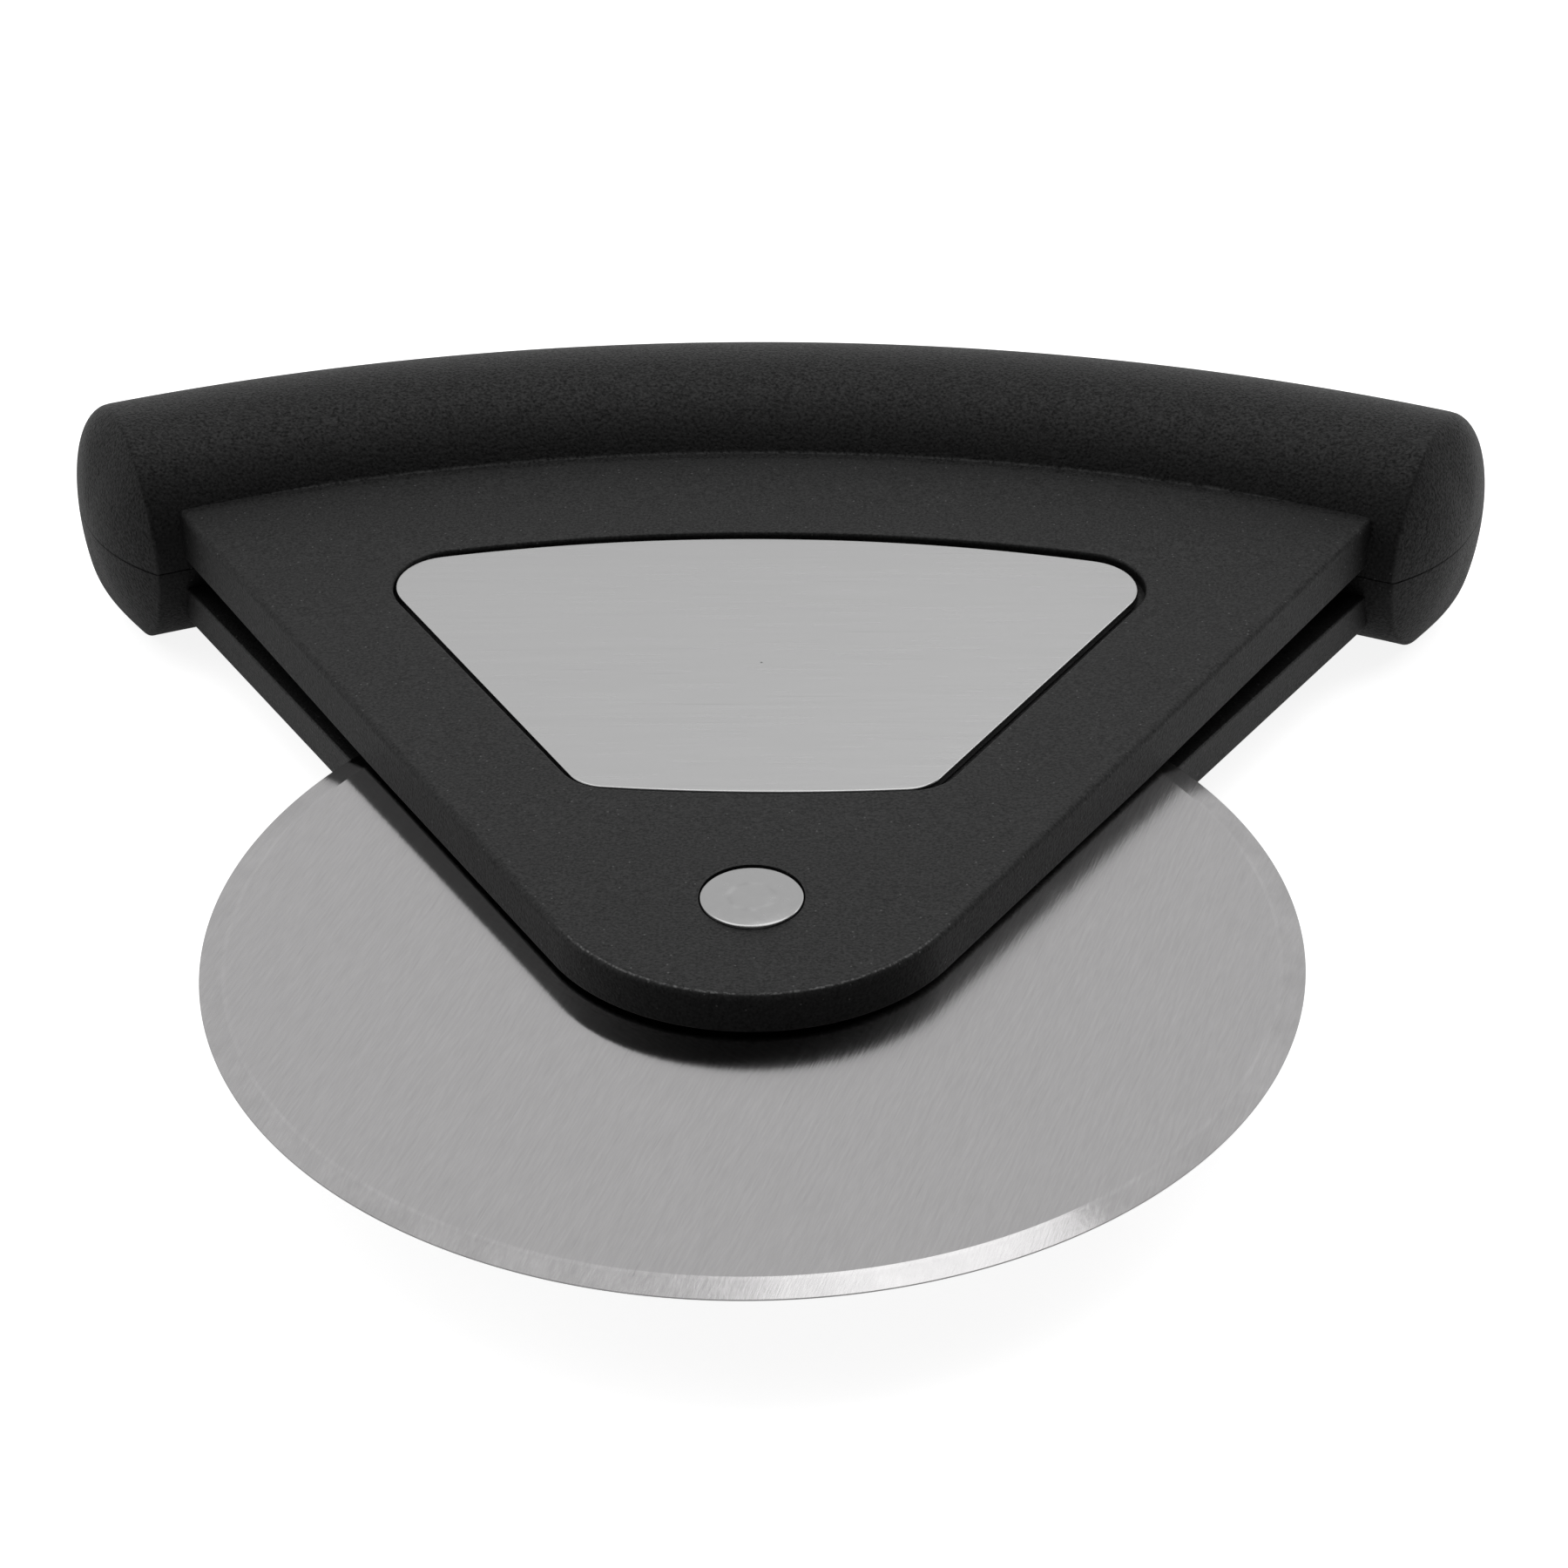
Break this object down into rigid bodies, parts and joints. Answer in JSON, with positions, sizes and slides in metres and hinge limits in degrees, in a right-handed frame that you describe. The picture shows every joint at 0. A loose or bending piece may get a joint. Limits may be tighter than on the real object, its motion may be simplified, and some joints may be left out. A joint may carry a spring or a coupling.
{
  "type": "pizza wheel",
  "caption": "Palm-held pizza wheel in the form of a pizza slice: an arched crust handle, two splayed plates and a round steel blade spinning on a rivet between them.",
  "frame": {"origin": "centre of the overall box, on the crust's parting plane between the two shells and on the middle line", "axes": "+Z out of the front plate that carries the inlay, along the blade's pivot; +Y from the blade towards the crust handle; X across, along the crust"},
  "size_m": [0.1496, 0.1526, 0.0248],
  "materials": {
    "black_shell": "fine spark-eroded texture, matt black",
    "inlay_steel": "brushed along the crust",
    "blade_steel": "brushed flat with a bright ground bevel",
    "rivet_steel": "spun by the riveting tool",
    "screw_steel": "bright zinc",
    "acetal": "natural",
    "adhesive": "double-sided pad"
  },
  "bodies": {
    "handle": {"front_shell": "black_shell", "rear_shell": "black_shell", "inlay_plate": "inlay_steel", "inlay_tape": "adhesive", "case_screws": "screw_steel", "pivot_rivet": "rivet_steel", "pivot_sleeve": "screw_steel", "front_washer": "acetal", "rear_washer": "acetal"},
    "wheel": {"blade": "blade_steel", "blade_bush": "acetal"}
  },
  "joints": [
    {"name": "blade_spin", "type": "hinge", "parent": "handle", "child": "wheel", "pos_m": [0, -0.02633, -0.0005], "axis": [0, 0, 1], "continuous": true}
  ]
}
